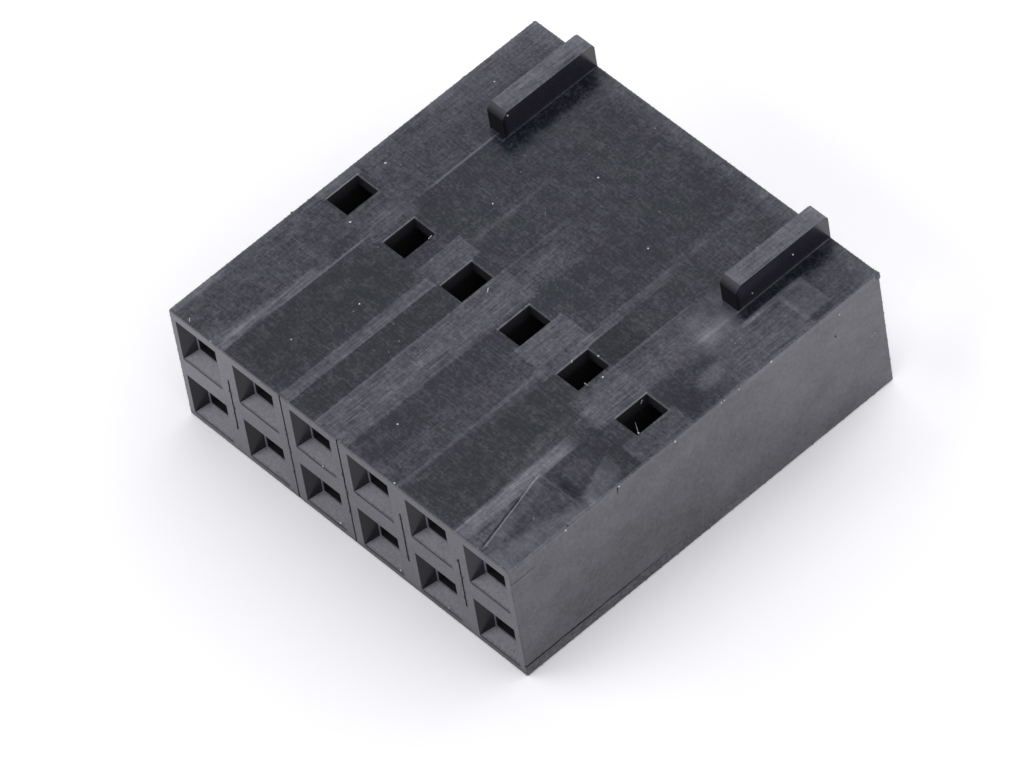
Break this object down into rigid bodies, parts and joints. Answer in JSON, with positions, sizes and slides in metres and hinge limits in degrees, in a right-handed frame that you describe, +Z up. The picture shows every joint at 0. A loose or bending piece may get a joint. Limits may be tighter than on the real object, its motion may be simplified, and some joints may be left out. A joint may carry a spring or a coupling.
{
  "type": "connector housing",
  "caption": "Two-row female crimp connector housing: rectangular black moulding with square pin funnels, locking windows and two ribs on top at the wire end.",
  "frame": {"origin": "middle of the underside", "axes": "+X across the columns, +Y from the mating face towards the wire end, +Z up through the ribbed top face"},
  "size_m": [0.015, 0.0152, 0.006],
  "materials": {
    "housing_plastic": "semi-matte black moulded thermoplastic"
  },
  "bodies": {
    "root": {"housing": "housing_plastic"}
  },
  "joints": []
}
